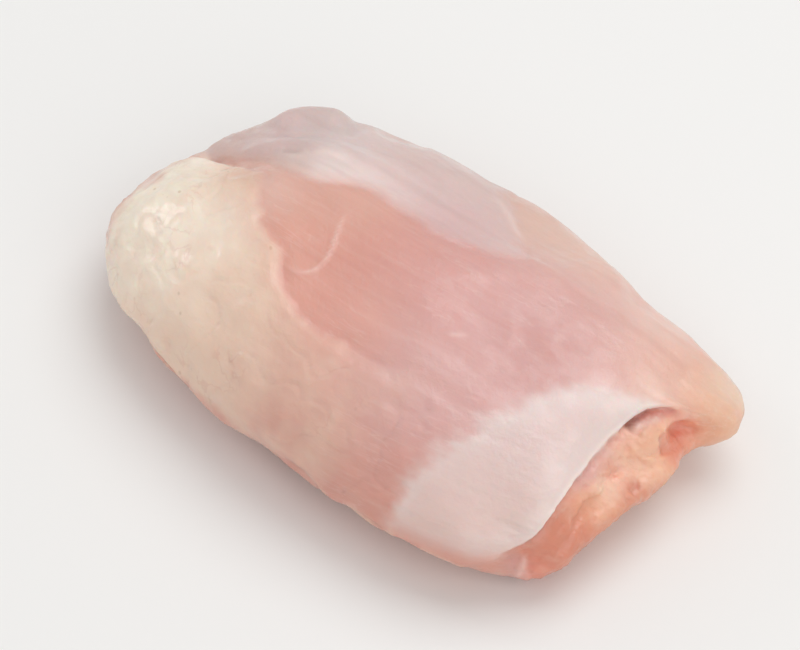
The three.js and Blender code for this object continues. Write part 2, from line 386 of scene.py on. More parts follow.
# The fold line where the upper layer is tucked under, right round the thigh but for the open end
foldLine = [(41, -23.6, 5), (35, -26.6, 6.6), (27, -28.6, 8.4), (19, -29.7, 8.8), (9, -30.4, 6.8),
            (-1, -30.3, 5.4), (-11, -29.9, 6.6), (-20, -29, 9.2), (-28, -27.6, 10.4), (-36, -25, 9.2),
            (-42.6, -20.8, 7), (-47.6, -15, 6.6), (-50.4, -8, 9), (-50.4, -1, 10.4), (-49.2, 6, 9.2),
            (-47.2, 13, 6.8), (-42.4, 20.6, 6.8), (-35, 26, 9), (-26, 29.3, 11), (-16, 30.6, 10.2),
            (-6, 30.8, 7.4), (5, 30.1, 6.2), (15, 29.2, 8.2), (25, 28.4, 9.4), (34, 27.7, 7.4),
            (41, 27, 5.6), (46, 25.8, 6.6)]
beneathSilver = [(-31, 13), (-22, 19), (-8, 21.5), (6, 19.4), (14, 14.6), (11, 8), (0, 5.4), (-12, 3.6),
                 (-24, 5.4)]
sideStrokes = [
    # red flesh with painted shade along the fold crease, as in the creases below
    stroke(foldLine, (0.8, 0.8), -1.7, blood=0.3, taper=0.04),
    stroke([(x, y, z - 3) for x, y, z in foldLine], (1.9, 1.9), 0.55,
           taper=0.04),  # the flesh swells below the fold
    stroke([(x, y, z + 2.2) for x, y, z in foldLine], (1.5, 1.5), 0.5, taper=0.04),  # and above it
    stroke([(-33, 25.4, 15.5), (-26, 28.6, 13.6), (-17, 30.4, 11.6), (-9, 30.8, 9)], (0.5, 0.7), -0.8,
           blood=0.12, taper=0.25),
    stroke([(14, 27.4, 15), (23, 28, 12.6), (32, 27.8, 10.2), (39, 27.2, 7.6)], (0.5, 0.7), -0.7, blood=0.12,
           taper=0.25),
    stroke([(-12, -27.2, 15), (0, -29.4, 12.4), (12, -30.2, 9.6), (21, -29.6, 7)], (0.6, 0.8), -0.8,
           blood=0.15, taper=0.25),
    stroke([(-47, -10, 14.5), (-45.4, -16, 12.4), (-41, -21.4, 10.6), (-34, -25.8, 8.4)], (0.6, 0.8), -0.9,
           blood=0.12, taper=0.25),
    stroke([(-50, 3, 12.8), (-47.4, 9, 12.6), (-43.4, 15, 13.6)], (0.6, 0.6), -0.8, blood=0.12, taper=0.25),
]
seamBeneath = [(-40, -8, 2.6), (-36, -10, 1), (-22, -14.6, 0.4), (-4, -13.4, 0.2), (14, -16.4, 1.4),
               (30, -15, 1.4), (44, -17, 3)]
beneathStrokes = [
    stroke(seamBeneath, (1, 1), -1, blood=0.45, taper=0.08),
    stroke([(x, y + 2.6, z) for x, y, z in seamBeneath], (2, 2.4), 0.3, fat=0.45,
           taper=0.2),  # fat beside the seam
    stroke([(-12, 22, 1), (-22, 17.4, 0.3), (-32, 12, 1), (-39, 3, 2.4)], (0.7, 0.6), -0.8, blood=0.3,
           taper=0.2),
    stroke([(-9, 19, 0.6), (-20, 14.4, 0.2), (-30, 9, 0.6)], (1.6, 2.2), 0.2, fat=0.5),
    stroke([(6, 8, 0), (18, 4.6, 0), (29, 6, 0), (40, 2.5, 1.6)], (0.6, 0.7), -0.6, blood=0.2, taper=0.25),
    stroke([(-14, 2, 0), (-2, -1.6, 0), (12, -3, 0), (22, -7, 0)], (0.35, 0.3), 0.15, thread=0.45),
    stroke([(20, 20, 2), (30, 15, 1), (38, 13, 2)], (0.4, 0.35), 0.15, thread=0.4),
]
endPlane = np.array([[0.735, 0.678, 0.0], [-0.506, 0.548, 0.667]]).T  # the open end as seen from its front
outOfLip = np.array([0.98, -0.2, 0.0])  # the way out from under the lip


def strokeShape(places, path, width, taper):  # 1 along the middle of a stroke, 0 away from it
    distance, along = pathDistance(places, smoothPath(path))
    fade = ramp(along, 0, taper) * ramp(along, 1, 1 - taper)
    return hill(distance, mix(*width, along)) * fade


beads = {
    "count": 70,
    "size": (0.5, 1.5),
    "height": (0.15, 0.45),
    "off": 1.1,  # how far they stray from the fold
    "uneven": {"height": 0.45, "size": 1.6},
    "fat": 0.75,  # how much of the colour of fat they carry
    "edge": (0.1, 0.7),
}


def placeBeads(path):  # centre, size and height of small beads of fat that lie along a path
    dice = np.random.default_rng(12)
    route = smoothPath(path)
    return [(route[dice.integers(len(route))] + dice.normal(0, beads["off"], 3), dice.uniform(*beads["size"]),
             dice.uniform(*beads["height"])) for _ in range(beads["count"])]


fatBeads = placeBeads(foldLine)
beadFat = np.zeros(len(places))
thighMasks = {name: np.zeros(len(places)) for name in ("fat", "blood", "thread", "shade")}


def drawStrokes(places, normals, strokes, plane=None, share=1):
    for drawn in strokes:
        path = np.array(drawn["path"])
        seen, line = (places, path) if plane is None else (places @ plane, path @ plane)
        shape = share * strokeShape(seen, line, drawn["width"], drawn["taper"])
        way = outOfLip if drawn.get("push") else normals
        places = places + way * (drawn["height"] * shape)[:, None]
        for name in thighMasks:
            thighMasks[name] = np.maximum(thighMasks[name], drawn.get(name, 0) * shape)
    return places


def smoothNormals(piece, rounds):
    normals = spread(normalsOf(piece), links, rounds)
    return normals / np.linalg.norm(normals, axis=1)[:, None]


creaseEasing = {
    "limit": 50,  # degrees that two faces may turn where they meet
    "passes": 4,
    "rounds": 5,
    "widen": {"rounds": 2, "gain": 4},  # the easing reaches a little past the crease
}


def creasedPlaces(piece):  # 1 at the ends of each edge where two faces turn past the limit
    mesh = piece.data
    facing = readAll(mesh.polygons, "normal", 3)
    faceOf = np.repeat(np.arange(len(mesh.polygons)), readAll(mesh.polygons, "loop_total", kind=np.int32))
    byEdge = np.argsort(readAll(mesh.loops, "edge_index", kind=np.int32), kind="stable")
    pairs = faceOf[byEdge].reshape(-1, 2)
    bent = (facing[pairs[:, 0]] * facing[pairs[:, 1]]).sum(1) < math.cos(math.radians(creaseEasing["limit"]))
    marks = np.zeros(len(mesh.vertices))
    marks[readAll(mesh.edges, "vertices", 2, np.int32)[bent].ravel()] = 1
    return marks


def easeCreases(piece, places):  # smooths only where faces would fold over
    widen = creaseEasing["widen"]
    for _ in range(creaseEasing["passes"]):
        setPlaces(piece, places)
        creased = creasedPlaces(piece)
        share = np.minimum(1, widen["gain"] * spread(creased, links, widen["rounds"]))
        places = spread(places, links, creaseEasing["rounds"], share)
        print("stage: creases eased at", int(creased.sum()), "places")
    return places


# Where the regions lie. A depth is above zero inside its region, and its edge wanders.
regionEdges = {
    "normalRounds": 4,
    "reliefNormalRounds": 3,
    "endRounds": 140,  # evens out the open end before its strokes go on
    "silverWobble": 0.4, "fatWobble": 0.8, "membraneWobble": 0.6, "beneathWobble": 0.8,
    "silverFeather": 1.2, "membraneFeather": 0.4, "beneathFeather": 1.5,  # streaks that run out along the thigh
    "featherSlant": 0.3,
    "membraneTorn": 1.6,
    "silverDown": 9,  # how far the silvery skin reaches down the far side
}
flat = places[:, :2]
x, y, z = places.T
normals = smoothNormals(thighFlesh, regionEdges["normalRounds"])
onTop = ramp(z, 9, 14)
order = np.argsort([y for x, y, z in lipLine])
lipY, lipZ = np.array(lipLine)[order, 1:].T
underLipBy = np.interp(y, lipY, lipZ) - z
atEnd = ramp(x, 37, 39.5) * ramp(y, -24, -21) * ramp(y, 19, 15)
cut = atEnd * ramp(underLipBy, -0.1, 0.7)
wobble = mottle(places, 4.5, seed=3, octaves=2)
slanted = np.stack([x + regionEdges["featherSlant"] * y, y, z], 1)
feather = mottle(slanted, 1.6, seed=15, octaves=2, stretch=(8, 1, 1))
down = regionEdges["silverDown"] * ramp(z, 16, 6) * ramp(y, 22, 28)
reachDown = np.column_stack([down, np.zeros(len(flat))])
silverEdge = depthInside(flat - reachDown, topRegions["silver"]) + regionEdges["silverWobble"] * wobble
silverDepth = silverEdge + regionEdges["silverFeather"] * feather * ramp(x, -6, 8)
fatDepth = depthInside(flat, topRegions["fat"]) + regionEdges["fatWobble"] * wobble
membraneDepth = (depthInside(flat, topRegions["membrane"]) + regionEdges["membraneWobble"] * wobble
                 + regionEdges["membraneFeather"] * feather)
sides = ramp(z, 19, 13)
print("stage: regions")

places = spread(places, links, regionEdges["endRounds"], cut)
places = drawStrokes(places, normals, topStrokes)
places = drawStrokes(places, normals, sideStrokes + beneathStrokes, share=1 - cut)
places = drawStrokes(places, normals, endStrokes, endPlane, ramp(cut, 0.2, 0.7))
uneven = 1 + beads["uneven"]["height"] * mottle(places, beads["uneven"]["size"], seed=22, octaves=2)
for centre, size, height in fatBeads:
    shape = hill(np.linalg.norm(places - centre, axis=1) * uneven, size) * (1 - atEnd)
    places = places + normals * (height * shape)[:, None]
    beadFat = np.maximum(beadFat, beads["fat"] * ramp(shape, *beads["edge"]))
setPlaces(thighFlesh, places)
normals = smoothNormals(thighFlesh, regionEdges["reliefNormalRounds"])
print("stage: strokes")

# Fibres run along the thigh and turn a little towards the far corner of the open end
fibreRun = {"bend": 0.0032, "bendFrom": -10, "slant": 0.35}
x, y, z = places.T
bend = fibreRun["bend"] * np.clip(x - fibreRun["bendFrom"], 0, None) ** 2
flow = np.stack([x + fibreRun["slant"] * y, y - bend, z], 1)

relief = {  # heights in millimetres, and where there are two, what the sides add to the first
    "underFold": 0.9, "swells": (0.3, 0.25), "bundles": (0.08, 0.12), "fibres": (0.018, 0.04),
    "silverStep": 0.14, "silverGroove": 0.1, "fatStep": 0.5, "fatGroove": 0.1,
    "lobules": 0.3, "lobuleGrooves": 0.16, "membraneStep": 0.07, "cutLumps": 0.2, "cutRidges": 0.13,
    "lipEdge": 0.3, "underLip": 0.55,
}
floorRest = {"clear": 0.1, "softness": 0.3}  # the underside lies flat where it would sink below the floor


def withSides(name):
    top, more = relief[name]
    return top + more * sides


below = ramp(np.abs(y) + np.abs(x) * 0.2, 12, 24) * (1 - atEnd)
foldPath = smoothPath(foldLine, steps=4)
foldFar, foldAlong = pathDistance(places, foldPath)
foldSpans = len(foldPath) - 1
foldHeight = foldPath[np.minimum((foldAlong * foldSpans).astype(int), foldSpans - 1), 2]
underFold = ramp(foldHeight - z, -0.3, 0.5) * below
rise = relief["underFold"] * underFold * mottle(places, 15, seed=21, octaves=2)
rise += withSides("swells") * mottle(places, 13, seed=5, octaves=2, stretch=(1.6, 1, 1))
rise += withSides("bundles") * mottle(flow, 2.6, seed=6, octaves=2, stretch=(7, 1, 1))
rise += withSides("fibres") * mottle(flow, 0.9, seed=7, octaves=2, stretch=(9, 1, 1))
rise += onTop * (relief["silverStep"] * ramp(silverEdge, -0.3, 0.5)
                 - relief["silverGroove"] * hill(silverEdge + 0.5, 0.6))
fatEnds = ramp(x, 20, 8)
rise += onTop * fatEnds * (relief["fatStep"] * ramp(fatDepth, -0.6, 1.8)
                           - relief["fatGroove"] * hill(fatDepth + 0.6, 0.7))
grooves = hill(mottle(places, 9, seed=9, octaves=2), 0.06)
lobules = relief["lobules"] * mottle(places, 7, seed=8) - relief["lobuleGrooves"] * grooves
rise += lobules * ramp(fatDepth, 0.2, 1.8) * ramp(z, 6, 11)
rise += onTop * relief["membraneStep"] * ramp(membraneDepth, -0.1, 0.4)
rise += cut * (relief["cutLumps"] * mottle(places, 2.2, seed=11, octaves=2)
               + relief["cutRidges"] * np.abs(mottle(places, 1.1, seed=12, octaves=2)))
lipDistance, lipAlong = pathDistance(places, smoothPath(lipLine))
lipEdge = hill(lipDistance, 0.42) * ramp(lipAlong, 1.0, 0.85) * ramp(lipAlong, 0.05, 0.3)
rise += relief["lipEdge"] * lipEdge
lipGap = hill(underLipBy - 0.85, 0.45) * atEnd * ramp(y, 5, 2) * ramp(lipAlong, 0.05, 0.2)
rise -= relief["underLip"] * lipGap
places = easeCreases(thighFlesh, places + normals * rise[:, None])
lifted = places[:, 2] - floorRest["clear"]
places[:, 2] = floorRest["clear"] + 0.5 * (lifted + np.sqrt(lifted ** 2 + floorRest["softness"] ** 2))
setPlaces(thighFlesh, places)
activate(thighFlesh)
bpy.ops.object.shade_smooth()
print("stage: relief")


# Masks and tones painted on the mesh: where each finish lies, and how the flesh changes colour

toneZones = {  # place, how far it reaches, colour
    "upperLeft": ((-22, -2, 26), 8, "#e1b2a2"),
    "leftOrange": ((-11, -5, 27), 8, "#df9a86"),
    "centre": ((4, -1, 27), 9, "#dca299"),
    "lilacCentre": ((17, 2, 26), 10, "#d9a6a2"),
    "lowerCentre": ((23, -11, 23), 8, "#dcb0ac"),
    "rightMid": ((29, 15, 22), 9, "#e4b7af"),
    "rightPeach": ((41, 17, 18), 5, "#e8b7a0"),
    "tip": ((48, 19, 13.5), 4, "#ecb690"),
    "midRight": ((25, 5, 25), 5, "#c78d88"),
    "centreDeep": ((23.6, 0.6, 25), 2.6, "#cc938d"),
    "centreWarm": ((11.7, -3.8, 26.9), 3, "#d79b94"),
    "orangeLow": ((3.5, -12.6, 25.2), 4, "#f2b8a6"),
    "farRim": ((18, 25, 18), 6, "#eccfbd"),
    "rightRim": ((33, 23, 18), 4, "#f5d6c8"),
    "aboveMembrane": ((40.8, 11.6, 18.9), 2.2, "#fbdccf"),
    "tipTop": ((47.1, 23.2, 13.7), 2.6, "#ecdfcf"),
    "beigeRim": ((5, 25, 20), 5, "#e2c8b8"),
    "nearSide": ((0, -28, 9), 12, "#d69c8e"),
    "farSide": ((0, 30, 9), 12, "#dba699"),
    "leftEnd": ((-50, 0, 10), 10, "#dba897"),
    "underMiddle": ((2, 4, 0), 8, "#cf9486"),
    "underNear": ((4, -22, 1), 7, "#c98a7a"),
    "underFar": ((4, 20, 1), 7, "#dba796"),
    "underLeft": ((-32, 0, 1), 8, "#d8a08f"),
    "underRight": ((34, -4, 0), 8, "#dba99b"),
    "besidePad": ((-25.5, -2.5, 25.8), 3, "#e9c4b7"),
    "belowSilver": ((-12.7, 4.7, 26.7), 3, "#e5b7a7"),
    "besideFat": ((13, -12.5, 24.5), 4, "#e3bab4"),
    "besideMembrane": ((17.5, -12.2, 24.5), 2.4, "#e8c0ba"),
    "besideEdge": ((-17, -7.4, 26.5), 2.2, "#e9ab99"),
    # paler where the skin rounds down to the lip: painted light
    "membraneTop": ((36.2, 4.3, 21), 1.8, "#f8dcd5"),
    "padEdge": ((-9, -13.2, 24.8), 2.5, "#efb3a2"),
    "nearRight": ((32, -26, 9), 8, "#d89a88"),
}
silverZones = {  # the silvery skin changes from lobe to lobe
    "pinkLobe": ((-36.5, 13, 20.6), 3, "#dfc8c8"),
    "greyLobe": ((-31.9, 16.9, 21.5), 2.5, "#c6bbb9"),
    "lobeRim": ((-33, 20.5, 20), 2.5, "#d3c6c2"),
    "paleGrey": ((-25.1, 15.1, 23.3), 3.5, "#e0d2d0"),
    "greySeam": ((-29.4, 11.6, 23.6), 1.6, "#cabcba"),
    "palePatch": ((-22.4, 9.2, 25), 2, "#f4e7e2"),
    "paleMiddle": ((-17, 8.8, 25.6), 2.5, "#fbeeea"),
    "darkSpot": ((-27.6, 6.4, 24.9), 1.8, "#dfcac2"),
    "bandPale": ((-11.5, 11.3, 25.4), 5, "#eed8d5"),
    "bandPink": ((-13.1, 21.6, 21.5), 5, "#dbc6c2"),
    "bandMid": ((-1.2, 13.9, 25.1), 5, "#dcb9b8"),
    "wedge": ((8, 15.4, 24), 4, "#e0c3be"),
    "farDown": ((-14, 29.5, 11), 9, "#d8c2bc"),
    "leftDown": ((-44, 10, 13), 7, "#d5bdb7"),
    "beneath": ((-8, 12, 0), 10, "#dcc3ba"),
}
fatZones = {
    # pale cream, lighter than the fat's own tone: painted light on the pad's left end
    "leftEnd": ((-33, -14, 22), 8, "#fff0dd"),
    "far": ((-31, -3.5, 24.5), 3.2, "#e6c2a6"),
    "middle": ((-29, -9.5, 25), 3.5, "#f8e6d6"),
    # darker orange at the pad's far corner: flesh colour with a painted shadow
    "farRight": ((-28, -2.6, 25.4), 3.2, "#cf9275"),
    "belowFar": ((-29.3, -7.6, 24.8), 2.4, "#fff0de"),
    "besideFlesh": ((-15, -16, 24.5), 5, "#eed0ba"),
    "right": ((6, -22, 21), 9, "#e8c6b2"),
    "under": ((-15, -28, 8), 9, "#ecd0bb"),
}
endZones = {  # the open end, seen from its front
    "lumpTop": ((44.4, 6.9, 16.5), 1.4, "#f4bf9c"),
    "lumpMiddle": ((45, 5.2, 14.9), 1.5, "#f0b393"),
    "lumpPale": ((44.7, 3.4, 12.3), 1.6, "#f7cab1"),
    "lumpLeft": ((42.3, 2.9, 16), 1.3, "#fabd9e"),
    "lumpLow": ((46.4, 5, 11.6), 1.5, "#f5c2a3"),
    "lumpRight": ((45.3, 10, 15.6), 0.9, "#ffc8a8"),
    # pale rim of the lump: a painted highlight
    "lumpRim": ((43.4, 7.2, 16.6), 0.6, "#ffc6a2"),
    # the gap under the lip: darker reds, partly the flesh and partly painted shade
    "crescent": ((41.3, 8.4, 15.3), 0.9, "#c4705f"),
    "crescentMiddle": ((42.6, 8.5, 17.1), 0.9, "#bf6858"),
    "crescentRight": ((42.9, 10.9, 16.4), 1, "#f6ad94"),
    "redCore": ((44.4, 13.5, 10.9), 1, "#eb8c7f"),
    "redRight": ((46.1, 15, 12.4), 1.2, "#f0ae92"),
    "underRed": ((46.2, 10.3, 11), 1.2, "#e28f78"),
    "underRight": ((46, 13.5, 10.3), 1.4, "#f3a58a"),
    "redSpot": ((43.7, -0.9, 12.9), 0.8, "#e39a83"),
    "notch": ((46.7, 0.5, 10.5), 0.8, "#e29b81"),
    "ridge": ((44.9, -3.7, 12.5), 1.3, "#ffddc6"),
    "ridgeTop": ((45.2, -1.1, 12.5), 1.1, "#fac4ad"),
    "belowRidge": ((45.7, -5.7, 11.7), 1.5, "#f0b896"),
    "nearLip": ((43.1, -6.4, 16.7), 1.3, "#e1aba2"),
    "midLip": ((42.2, -0.8, 16.8), 1.4, "#e7b3a0"),
    "orange": ((44.5, -7.7, 12), 1.6, "#eeac8d"),
    "deep": ((45.5, -11.8, 11.9), 1.8, "#da8b70"),
    "deepRed": ((45.4, -17.1, 10.2), 1.8, "#d98a70"),
    "nearRed": ((44.9, -19.3, 7.8), 1.5, "#e5907d"),
    "nearFold": ((42.6, -21, 7.8), 1.1, "#d2a097"),
    "lowMiddle": ((47, 0, 6), 3, "#dc987e"),
    "lowNear": ((45, -13, 4.5), 3, "#d48c74"),
    "tipBelow": ((48, 18, 9), 2.5, "#e9ab8b"),
}
zoneBlur = 1.6  # how far past its reach a zone blends into the next
leastWeight = 1e-6


def zoneTones(places, zones, plane=None):
    total = np.zeros((len(places), 3))
    weights = np.zeros(len(places))
    seen = places if plane is None else places @ plane
    for place, reach, colour in zones.values():
        middle = np.array(place) if plane is None else np.array(place) @ plane
        weight = hill(np.linalg.norm(seen - middle, axis=1), reach * zoneBlur) + leastWeight
        total += weight[:, None] * linear(colour)
        weights += weight
    return np.column_stack([total / weights[:, None], np.ones(len(places))])


cover = {  # how fully each finish hides the flesh below it
    "silverEdge": 0.4, "silverInside": 0.6, "silverBeneath": 0.7,
    "fatEdge": 0.6, "fatInside": 0.4, "thinFat": 0.4, "thinFatPatches": 0.35, "foldFat": 0.75,
    "membrane": 0.78, "membraneRim": 0.2, "membraneAtLip": 0.3, "cutAtLip": 0.35, "silverInHollow": 0.8,
}
x, y, z = places.T
hollowRounds = 14
# painted shade: darker red-brown where the surface dips below its surroundings
hollow = ((spread(places, links, hollowRounds) - places) * normals).sum(1)

beneathDepth = (depthInside(flat, beneathSilver) + regionEdges["beneathWobble"] * wobble
                + regionEdges["beneathFeather"] * feather)
silver = cover["silverBeneath"] * ramp(z, 6, 3) * ramp(beneathDepth, -0.6, 1.8)
silver = silver + onTop * (cover["silverEdge"] * ramp(silverDepth, -1.0, 0.5)
                           + cover["silverInside"] * ramp(silverDepth, -1.6, 2.8))

patches = mottle(places, 7, seed=14)
fatFade = mix(1, cover["thinFat"] + cover["thinFatPatches"] * patches, ramp(x, -14, 4))
fatFade = fatFade * ramp(x, 21, 10) * ramp(x + 3 * patches, -50, -44)
fatCover = cover["fatEdge"] * ramp(fatDepth, -0.5, 0.9) + cover["fatInside"] * ramp(fatDepth, 0, 4.5)
fatCover = fatFade * fatCover * ramp(z + 3.5 * patches, 6, 12)
foldFat = cover["foldFat"] * hill(foldFar - 0.8, 1.6) * ramp(mottle(places, 9, seed=16), 0.0, 0.45)
drawnFat = thighMasks["fat"] * ramp(mottle(places, 6, seed=18), -0.4, 0.35)
fat = np.maximum.reduce([drawnFat, beadFat, np.clip(fatCover, 0, 1), foldFat * (1 - cut)])

raggedNear = ramp(y, -6, -14)  # the membrane is ragged where it ends in the flesh
torn = regionEdges["membraneTorn"] * mottle(flow, 3.2, seed=19, stretch=(1.6, 1, 1)) * raggedNear
membraneCover = (cover["membrane"] + cover["membraneRim"] * hill(membraneDepth - 1.2, 2.2)
                 + cover["membraneAtLip"] * hill(lipDistance, 3))
membrane = ramp(membraneDepth + torn, -1.1, 1.5 + 1.5 * raggedNear) * membraneCover * onTop * (1 - cut)

for name, values in {
    "silver": silver,
    "fat": fat,
    "membrane": membrane,
    "cut": mix(cover["cutAtLip"] * cut, cut, cut * ramp(underLipBy, 0.0, 3.0)),
    "blood": thighMasks["blood"],
    "shade": thighMasks["shade"],
    "thread": np.maximum(thighMasks["thread"], lipEdge * ramp(lipAlong, 0.88, 0.74)),
    "hollow": ramp(hollow, 0.05, 0.5) * (1 - cover["silverInHollow"] * silver),
    "tone": zoneTones(places, toneZones),
    "silverTone": zoneTones(places, silverZones),
    "fatTone": zoneTones(places, fatZones),
    "endTone": zoneTones(places, endZones, endPlane),
}.items():
    paint(thighFlesh, name, values)
layer = thighFlesh.data.attributes.new("flow", "FLOAT_VECTOR", "POINT")
layer.data.foreach_set("vector", flow.astype(np.float32).ravel())
print("stage: masks")


# Node helpers. A value is a socket to link, or a plain number or colour.

def feed(tree, socket, value):
    if isinstance(value, bpy.types.NodeSocket):
        tree.links.new(value, socket)
    else:
        socket.default_value = value


def sums(tree, operation, a, b=0.0):
    made = tree.nodes.new("ShaderNodeMath")
    made.operation = operation
    feed(tree, made.inputs[0], a)
    feed(tree, made.inputs[1], b)
    return made.outputs[0]


def span(tree, value, low, high, toLow=0.0, toHigh=1.0):
    made = tree.nodes.new("ShaderNodeMapRange")
    made.interpolation_type = "SMOOTHSTEP"
    for socket, given in zip(made.inputs, (value, low, high, toLow, toHigh)):
        feed(tree, socket, given)
    return made.outputs[0]


def blend(tree, share, a, b, way="MIX"):
    made = tree.nodes.new("ShaderNodeMix")
    made.data_type = "RGBA"
    made.blend_type = way
    feed(tree, made.inputs[0], share)
    feed(tree, made.inputs[6], a)
    feed(tree, made.inputs[7], b)
    return made.outputs[2]


def stretched(tree, vector, factors):
    made = tree.nodes.new("ShaderNodeVectorMath")
    made.operation = "MULTIPLY"
    feed(tree, made.inputs[0], vector)
    made.inputs[1].default_value = factors
    return made.outputs[0]


def grain(tree, vector, scale, detail=2.0, rough=0.5):
    made = tree.nodes.new("ShaderNodeTexNoise")
    feed(tree, made.inputs["Vector"], vector)
    made.inputs["Scale"].default_value = scale
    made.inputs["Detail"].default_value = detail
    made.inputs["Roughness"].default_value = rough
    return made.outputs[0]


def patchy(tree, place, noise, low, high):  # 0 to 1 in soft patches
    return span(tree, grain(tree, place, *noise), low, high)


def thinLines(tree, noise, width):  # 1 along the lines where a noise crosses its middle
    ridge = sums(tree, "ABSOLUTE", sums(tree, "SUBTRACT", noise, 0.5))
    return span(tree, ridge, 0.0, width, 1.0, 0.0)


def mask(tree, name, output="Fac"):
    made = tree.nodes.new("ShaderNodeAttribute")
    made.attribute_name = name
    return made.outputs[output]


def newGroup(name, takes, *gives):  # takes one place, gives numbers
    group = bpy.data.node_groups.new(name, "ShaderNodeTree")
    group.interface.new_socket(takes, in_out="INPUT", socket_type="NodeSocketVector")
    for title in gives:
        group.interface.new_socket(title, in_out="OUTPUT", socket_type="NodeSocketFloat")
    return group, group.nodes.new("NodeGroupInput").outputs[takes], group.nodes.new("NodeGroupOutput").inputs


def useGroup(tree, group, **values):
    made = tree.nodes.new("ShaderNodeGroup")
    made.node_tree = group
    for title, value in values.items():
        feed(tree, made.inputs[title], value)
    return made.outputs


# A grain is given as the scale, detail and roughness of its noise, in millimetres along the flow. A patch is
# a grain with the values at which it begins and is full.
muscleLook = {
    "alongStreaks": (0.1, 1, 1), "alongBundles": (0.16, 1, 1),
    "streak": (1.1, 4, 0.6), "bundle": (0.3, 2), "height": 0.6,
    "line": (0.5, 3, 0.55), "lineWidth": 0.018, "linePatch": ((0.09, 2), 0.48, 0.62),
}


# Muscle grain: fine streaks and wider bundles along the flow, and hair-thin pale lines
def makeMuscleGrain(look):
    group, place, gives = newGroup("muscleGrain", "Flow", "Streak", "Bundle", "Hairline", "Height")
    flowAlong = stretched(group, place, look["alongStreaks"])
    streak = grain(group, flowAlong, *look["streak"])
    bundle = grain(group, stretched(group, place, look["alongBundles"]), *look["bundle"])
    line = thinLines(group, grain(group, flowAlong, *look["line"]), look["lineWidth"])
    patch = patchy(group, place, *look["linePatch"])
    feed(group, gives["Streak"], streak)
    feed(group, gives["Bundle"], bundle)
    feed(group, gives["Hairline"], sums(group, "MULTIPLY", line, patch))
    feed(group, gives["Height"], sums(group, "ADD", sums(group, "MULTIPLY", streak, look["height"]),
                                      sums(group, "MULTIPLY", bundle, look["height"])))
    return group


fatLook = {
    "swirl": 0.35, "swirlBy": (3, 3, 3), "lobule": 0.26,
    "vein": (0.22, 3), "veinWidth": 0.035, "veinPatch": ((0.12, 1), 0.52, 0.66),
    "speck": 0.3, "speckCore": 0.05, "speckRim": 0.13, "speckPatch": ((0.1, 1), 0.5, 0.6),
}


# Fat grain: soft lobules, faint vessels and small specks
def makeFatGrain(look):
    group, place, gives = newGroup("fatGrain", "Place", "Lobule", "Vessel", "Speck")
    swirl = group.nodes.new("ShaderNodeTexNoise")
    swirl.inputs["Scale"].default_value = look["swirl"]
    feed(group, swirl.inputs["Vector"], place)
    warped = group.nodes.new("ShaderNodeVectorMath")
    warped.operation = "ADD"
    feed(group, warped.inputs[0], place)
    feed(group, warped.inputs[1], stretched(group, swirl.outputs["Color"], look["swirlBy"]))
    cells = group.nodes.new("ShaderNodeTexVoronoi")
    cells.feature = "SMOOTH_F1"
    cells.inputs["Scale"].default_value = look["lobule"]
    feed(group, cells.inputs["Vector"], warped.outputs[0])
    feed(group, gives["Lobule"], cells.outputs["Distance"])

    vein = thinLines(group, grain(group, warped.outputs[0], *look["vein"]), look["veinWidth"])
    feed(group, gives["Vessel"], sums(group, "MULTIPLY", vein, patchy(group, place, *look["veinPatch"])))

    dots = group.nodes.new("ShaderNodeTexVoronoi")
    dots.inputs["Scale"].default_value = look["speck"]
    feed(group, dots.inputs["Vector"], place)
    speck = span(group, dots.outputs["Distance"], look["speckCore"], look["speckRim"], 1.0, 0.0)
    feed(group, gives["Speck"], sums(group, "MULTIPLY", speck, patchy(group, place, *look["speckPatch"])))
    return group


moistLook = {"wet": ((0.25, 3), 0.35, 0.65), "ripple": (0.8, 3), "fineRipple": (5, 2), "fineHeight": 0.12}


# Moist skin: slight ripples, and patches that are wetter than others
def makeMoistSkin(look):
    group, place, gives = newGroup("moistSkin", "Place", "Wet", "Height")
    feed(group, gives["Wet"], patchy(group, place, *look["wet"]))
    fine = sums(group, "MULTIPLY", grain(group, place, *look["fineRipple"]), look["fineHeight"])
    feed(group, gives["Height"], sums(group, "ADD", grain(group, place, *look["ripple"]), fine))
    return group


muscleGrain = makeMuscleGrain(muscleLook)
fatGrain = makeFatGrain(fatLook)
moistSkin = makeMoistSkin(moistLook)

rawFleshLook = {
    "streakPale": "#f0d2c8", "bundleDeep": "#cf8a7c", "hairline": "#ffeae2",
    "silverDeep": "#b99c9a", "membrane": "#eaded9",
    "fatDeep": "#e2b8a4", "vessel": "#b8655a", "speck": "#b08a62",
    "cutPale": "#fbdcc8", "cutDeep": "#cf7d66", "blood": "#c4695a", "hollow": "#8e4b3e", "shade": "#84423a",
    "streakPaleShare": 0.14, "bundleDeepShare": 0.2, "hairlineShare": 0.1, "threadShare": 0.7,
    "silverShare": 0.82, "silverDeepShare": 0.2, "membraneShare": 0.72,
    "fatDeepShare": 0.45, "vesselShare": 0.14, "speckShare": 0.35, "cutPaleShare": 0.2, "cutDeepShare": 0.25,
    "hollowShare": 0.5, "hollowInCut": 0.15,
    "roughness": 0.38, "roughnessSpread": 0.08, "dryCoat": 0.1, "wetCoat": 0.4, "coatRoughness": 0.14,
    "subsurface": 0.35, "subsurfaceRadius": (1.0, 0.36, 0.22), "subsurfaceScale": 3.5 * mm,
    "bareFibres": 0.4, "coveredFibres": 0.08, "bumpStrength": 0.6, "bumpDistance": 0.2 * mm,
}


